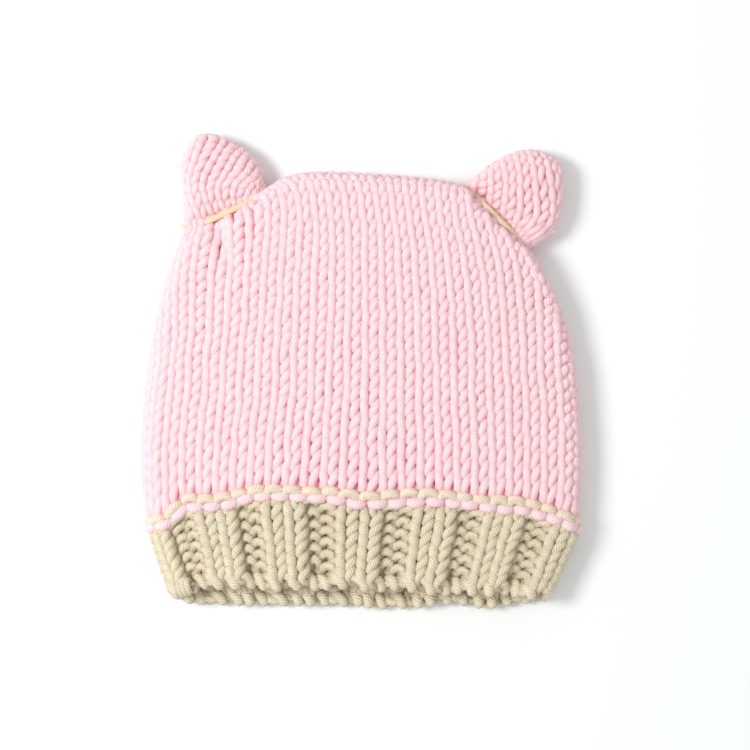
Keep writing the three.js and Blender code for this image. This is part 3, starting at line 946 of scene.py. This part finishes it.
def cast_on():
    """The edge at the hem: yarn wound once round the foot of each stitch."""
    cols = np.arange(STITCHES * POINTS_PER_STITCH) / POINTS_PER_STITCH
    turn = 2 * math.pi * cols
    col = cols + CAST_ON["along"] * np.sin(turn)
    row = CAST_ON["rise"] + CAST_ON["swing"] * np.cos(turn)
    wound = hat_point(col, row, CAST_ON["stand"] * np.sin(turn))
    return *wound, np.full(len(cols), CAST_ON["thick"]), True


def knot():
    """The joined ends of the yarn, wound into a knot at the hem's left corner."""
    middle = np.array([-71.2, -35.0, 14.2])
    axis = np.array([0.92, 0.36, 0.1])
    turns = 4
    radius = 2.2
    length = 7.0
    side = unit(np.cross(axis, (0.0, 0.0, 1.0)))
    across = np.cross(side, axis)
    turn = np.linspace(0, 2 * math.pi * turns, turns * POINTS_PER_STITCH)
    outward = np.cos(turn)[:, None] * side + np.sin(turn)[:, None] * across
    along = (turn / turn[-1] - 0.5) * length
    points = middle + radius * outward + along[:, None] * axis
    return points, outward, np.ones(len(turn)), np.full(len(turn), KNOT_YARN), False


def add_painted_bounce_light(piece):
    """Marks painted pink bounce light on the brim's loops among the pink ones, over the colour
    change.
    """
    mesh = piece.data
    place = np.empty(3 * len(mesh.vertices))
    mesh.vertices.foreach_get("co", place)
    x, y, z = (place.reshape(-1, 3) * 1000 - SHIFT).T
    left, right = (HAT_WIDTH / 2 * side[0] for side in (SIDE_X_LEFT, SIDE_X_RIGHT))
    change = lower_edge(np.clip((x - left) / (right - left), 0, 1), z > FOLD_RADIUS)[1]
    painted_bounce_light = BOUNCE_LIGHT_SHARE * smoothstep(y - change, *BOUNCE_LIGHT_RISE)
    mesh.attributes.new("painted_bounce_light", "FLOAT", "POINT").data.foreach_set("value", painted_bounce_light)


def tie_frame(side):
    """The middle, the direction and half the length of a tie, seen from above."""
    outer = np.array([float(v) for v in side_fold(side, 1.0)])
    k = 0 if side == "left" else -1
    inner = np.array([TOP_FOLD["x"][k] * HAT_WIDTH / 2, TOP_FOLD["y"][k] * CROWN_LENGTH])
    start, end = (outer, inner) if side == "left" else (inner, outer)
    half = np.linalg.norm(end - start) / 2
    return (start + end) / 2, (end - start) / (2 * half), half


def ear_outline(side, half):
    """The ear's free edge in the tie's frame, from the tie's start over the tip to its end."""
    table = EARS[side]
    step = np.linspace(0, 1, 40)
    y = EAR_RISE * table["rise"] * np.sin(step * math.pi / 2)
    left = np.stack([column(table, "left", step) * half, y], axis=-1)
    right = np.stack([column(table, "right", step) * half, y], axis=-1)[::-1]
    below = np.array([[0.0, -20.0]])  # the outline goes on under the tie
    return np.concatenate([left[:1] + below, left, right[1:], right[-1:] + below])


def distance_inside(points, line):
    """How far each point is from a line, positive on the inside of its closed form."""
    start = line[:-1]
    span = line[1:] - start
    away = points[:, None, :] - start[None]
    t = np.clip((away * span).sum(-1) / np.maximum((span * span).sum(-1), 1e-9), 0, 1)
    foot = start[None] + t[..., None] * span[None]
    gap = np.linalg.norm(points[:, None, :] - foot, axis=-1).min(axis=1)
    closed = np.concatenate([line, line[:1]])
    start, end = closed[:-1], closed[1:]
    x, y = points[:, :1], points[:, 1:]
    crosses = (start[None, :, 1] > y) != (end[None, :, 1] > y)
    rise = np.where(end[:, 1] == start[:, 1], 1e-9, end[:, 1] - start[:, 1])
    at = start[None, :, 0] + (y - start[None, :, 1]) / rise[None] * (end - start)[None, :, 0]
    inside = (crosses & (x < at)).sum(axis=1) % 2 == 1
    return np.where(inside, 1.0, -1.0) * gap


def net(lines, places, across, along):
    """A point of a net of lines: across it by the number of the line, along it by the places."""
    lines = np.array(lines, float)
    levels = np.arange(len(places))
    level = np.interp(along, places, levels)
    low = (along - places[0]) / (places[1] - places[0])
    high = (along - places[-1]) / (places[-1] - places[-2])
    level = level + np.minimum(low, 0) + np.maximum(high, 0)

    def weights(t, count):
        """The four values that a smooth curve reads at t, and how much it takes of each."""
        i = np.clip(np.floor(t).astype(int), 0, count - 2)
        w = t - i
        c = np.clip(w, 0, 1)
        past = w - c  # beyond the ends the curve goes straight on
        return (
            (np.clip(i - 1, 0, None), -0.5 * c + c**2 - 0.5 * c**3),
            (i, 1 - 2.5 * c**2 + 1.5 * c**3 - past),
            (i + 1, 0.5 * c + 2 * c**2 - 1.5 * c**3 + past),
            (np.clip(i + 2, None, count - 1), -0.5 * c**2 + 0.5 * c**3),
        )

    total = 0.0
    for i, a in weights(across, len(lines)):
        for k, b in weights(level, len(places)):
            total = total + (a * b)[..., None] * lines[i, k]
    return total


class Ear:
    """An ear's fabric: columns and rows of stitches laid over a puffed form, folded at its edge."""

    EDGE = 8.0  # how far in from its edge an ear is rounded, in millimetres
    BELOW = 3.0  # the rows of an ear run this far under the tie
    CELL = 0.5  # of the grid that holds the distances from the edge
    GRID_CORNER = (-30.0, -16.0)
    GRID_SIZE = (60, 66)
    BLUR_CELLS = 6
    BLUR_WIDTH = 18.0
    EDGE_OUT = 0.7  # the blurred outline is let out by this much
    ROWS = (-2, 11)
    COLUMNS = (-3, 12)
    CALM = 5.0  # within this of the folded edge the loops stand alike

    def __init__(self, side):
        self.side = side
        self.middle, self.way, self.half = tie_frame(side)
        self.up = np.array([-self.way[1], self.way[0]])
        self.arc = 0.5 * math.pi * (self.EDGE + EAR_THICKNESS / 2) / 2
        self.corner = np.array(self.GRID_CORNER)
        count = [int(size / self.CELL) + 1 for size in self.GRID_SIZE]
        x, y = (self.corner[k] + self.CELL * np.arange(count[k]) for k in (0, 1))
        spots = np.stack(np.meshgrid(x, y, indexing="ij"), axis=-1).reshape(-1, 2)
        depth = distance_inside(spots, ear_outline(side, self.half)).reshape(count)
        reach = self.BLUR_CELLS
        blur = np.exp(-np.arange(-reach, reach + 1) ** 2 / self.BLUR_WIDTH)
        blur = blur / blur.sum()
        for axis in (0, 1):
            edges = [(reach, reach) if k == axis else (0, 0) for k in (0, 1)]
            padded = np.pad(depth, edges, mode="edge")
            depth = sum(
                w * np.take(padded, np.arange(count[axis]) + k, axis=axis)
                for k, w in enumerate(blur)
            )
        self.depth = depth + self.EDGE_OUT
        self.slope = np.gradient(self.depth, self.CELL)

    def sample(self, grid, local):
        """A value between the grid's cells."""
        place = (local - self.corner) / self.CELL
        limit = np.array(grid.shape) - 1.001
        place = np.clip(place, 0, limit)
        i = np.floor(place).astype(int)
        w = place - i
        a = lerp(grid[i[:, 0], i[:, 1]], grid[i[:, 0] + 1, i[:, 1]], w[:, 0])
        b = lerp(grid[i[:, 0], i[:, 1] + 1], grid[i[:, 0] + 1, i[:, 1] + 1], w[:, 0])
        return lerp(a, b, w[:, 1])

    def local(self, col, row):
        """Where a place in the fabric falls, seen from above, from the middle of the tie."""
        at = net(EAR_COLUMNS[self.side], EAR_ROWS[self.side], col, row) - self.middle
        return np.stack([at @ self.way, at @ self.up], -1)

    def spare(self, col, row):
        """How far inside the folded edge a place is, along the fabric."""
        return self.sample(self.depth, self.local(col, row)) + self.arc - self.EDGE

    def point(self, col, row, stand, front):
        """Points of the yarn on the ear's front at 1 or its back at -1, and their outward ways."""
        local = self.local(col, row)
        inside = self.sample(self.depth, local)
        slope = np.stack([self.sample(part, local) for part in self.slope], -1)
        along = np.maximum(inside + self.arc - self.EDGE, 0)
        turn = np.clip(along / self.arc, 0, 1) * math.pi / 2
        bent = self.EDGE * (1 - np.cos(turn))
        d = np.where(along < self.arc, bent, inside)
        local = local + slope * (d - inside)[:, None]
        rise = smoothstep(local[:, 1] + TIE_SAG[self.side], 0.0, GATHER_REACH)
        puff = lerp(NECK_HALF, EAR_THICKNESS / 2, rise)
        flat = slope * (-puff * np.cos(turn))[:, None]
        outward = unit(np.concatenate([flat, (self.EDGE * np.sin(turn))[:, None]], axis=1))
        depth = np.minimum(EAR_YARN + LOOP_DEPTH * (1 - stand), puff * EAR_CORE)
        local = local - outward[:, :2] * depth[:, None]
        z = puff * np.sin(turn) - outward[:, 2] * depth
        at = self.middle + local[:, :1] * self.way + local[:, 1:] * self.up
        points = np.concatenate([at, (FOLD_RADIUS + z * front)[:, None]], axis=1)
        way_out = outward[:, :1] * [*self.way, 0] + outward[:, 1:2] * [*self.up, 0]
        way_out[:, 2] = outward[:, 2] * front
        return points, way_out

    def courses(self):
        """Each row as one closed strand, over the ear's front and back along its back."""
        laid = []
        steps = np.arange(*(POINTS_PER_STITCH * col for col in self.COLUMNS))
        for row in range(*self.ROWS):
            cols = steps / POINTS_PER_STITCH
            spare = self.spare(cols, np.full_like(cols, float(row)))
            low = self.local(cols, np.full_like(cols, row + 0.5))[:, 1]
            kept = (spare > EAR_MARGIN) & (low > -TIE_SAG[self.side] - self.BELOW)
            if kept.sum() < POINTS_PER_STITCH:
                continue
            first, last = np.flatnonzero(kept)[[0, -1]]
            cols = cols[first : last + 1]
            col, height, stand, thick = stitches(cols, row, plain)
            col = col + wander(EAR_COL_WANDER, col, height)
            height = height + wander(EAR_ROW_WANDER, col, height)
            calm = smoothstep(self.spare(col, height), 0.0, self.CALM)
            stand = lerp(EAR_EDGE_STAND, stand, calm)
            # The stand that the painted shade is worked out with: near the folded edge the yarn gets
            # less painted shade than its stand gives
            lit = lerp(EAR_EDGE_LIT, stand, calm)
            front = (*self.point(col, height, stand, 1.0), lit, thick)
            back = (*self.point(col, height, stand, -1.0), lit, thick)
            laid.append((*(np.concatenate([a, b[::-1]]) for a, b in zip(front, back)), True))
        return laid


def plain(col, row):
    """The ears are knit stitches all over."""
    return np.ones_like(col)


def tie(side):
    """The yarn drawn round an ear's neck, sunk into the fabric at both ends."""
    middle, way, half = tie_frame(side)
    reach, shift = TIE_SEAT[side]
    turn = np.linspace(0, 2 * math.pi, 96, endpoint=False)
    x = half * (shift - reach * np.cos(turn))
    over = smoothstep(x / half, TIE_DIPS[side] - TIE_DIP_LENGTH, TIE_DIPS[side])
    z = np.sin(turn) * (NECK_HALF + TIE_CLEAR) * over
    sag = TIE_SAG[side] * np.sqrt(np.abs(np.sin(turn)))
    flat = middle + x[:, None] * way - sag[:, None] * np.array([-way[1], way[0]])
    points = np.concatenate([flat, (FOLD_RADIUS + z)[:, None]], axis=1)
    outward = np.zeros_like(points)
    outward[:, :2] = -np.cos(turn)[:, None] * way
    outward[:, 2] = np.sin(turn)
    return [(points, outward, np.ones(len(turn)), np.ones(len(turn)), True)]


def dress(name, strands, radius, sides, material, slot, node):
    """A piece of yarn that stands for a node of the part."""
    piece = yarn_piece(name, strands, radius, sides, material)
    if node == "brim":
        add_painted_bounce_light(piece)
    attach(piece, "root")
    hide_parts(node)


def knit_hat():
    """Every row of the hat, as pieces that each stay well under the limit of triangles."""
    first = RIDGE_ROW + 1
    half = first + CROWN_ROWS // 2
    pink = (YARN_SIDES, PINK, "pink_knit")
    brim = [cast_on(), knot()] + courses(0, BRIM_ROWS)
    dress("brim_rows", brim, YARN_RADIUS, YARN_SIDES, BEIGE, "beige_knit", "brim")
    dress("crown_lower_rows", courses(RIDGE_ROW, half), YARN_RADIUS, *pink, "crown")
    dress("crown_upper_rows", courses(half, first + CROWN_ROWS), YARN_RADIUS, *pink, "crown")
    for side in ("left", "right"):
        dress(f"ear_{side}_rows", Ear(side).courses(), EAR_YARN, *pink, f"ear_{side}")
    for side in ("left", "right"):
        strand = (tie(side), TIE_RADIUS, TIE_SIDES, CREAM, "cream_yarn")
        dress(f"tie_{side}_yarn", *strand, f"ear_tie_{side}")


def add_camera():
    """Straight above, where the photo was taken from."""
    camera = bpy.data.objects.new("camera", bpy.data.cameras.new("camera"))
    bpy.context.scene.collection.objects.link(camera)
    bpy.context.scene.camera = camera
    middle = PHOTO_SIZE / 2
    centre = np.array([middle - ORIGIN_PIXEL[0], ORIGIN_PIXEL[1] - middle, 0]) * PIXEL + SHIFT
    camera.location = (centre[0] / 1000, centre[1] / 1000, CAMERA_HEIGHT)
    camera.data.sensor_width = SENSOR_WIDTH
    view = PHOTO_SIZE * PIXEL / 1000
    camera.data.lens = SENSOR_WIDTH * (CAMERA_HEIGHT - FOCUS_HEIGHT) / view
    camera.data.clip_end = 10


def add_floor():
    """The white ground that the hat lies on."""
    floor = bpy.data.objects.new("floor", bpy.data.meshes.new("floor"))
    bm = bmesh.new()
    bmesh.ops.create_grid(bm, x_segments=1, y_segments=1, size=3)
    bm.to_mesh(floor.data)
    bpy.context.scene.collection.objects.link(floor)
    white = bpy.data.materials.new("white floor")
    white.use_nodes = True
    shader = white.node_tree.nodes["Principled BSDF"]
    shader.inputs["Base Color"].default_value = (0.88, 0.91, 0.905, 1)
    shader.inputs["Roughness"].default_value = 1
    floor.data.materials.append(white)


def add_light():
    """One soft light from the left, and an even white studio round the hat."""
    key = bpy.data.objects.new("key", bpy.data.lights.new("key", "AREA"))
    key.data.size = 0.42
    key.data.energy = 11
    key.location = (-0.84, 0.12, 1.0)
    to_hat = Vector((0, 0, 0)) - Vector(key.location)
    key.rotation_euler = to_hat.to_track_quat("-Z", "Y").to_euler()
    bpy.context.scene.collection.objects.link(key)
    world = bpy.data.worlds.new("studio")
    world.use_nodes = True
    background = world.node_tree.nodes["Background"]
    background.inputs["Color"].default_value = (1, 1, 1, 1)
    background.inputs["Strength"].default_value = 0.725
    bpy.context.scene.world = world
    bpy.context.scene.view_settings.view_transform = "Standard"
    bpy.context.scene.cycles.diffuse_bounces = 12


def main():
    knit_hat()
    add_camera()
    add_floor()
    add_light()


main()
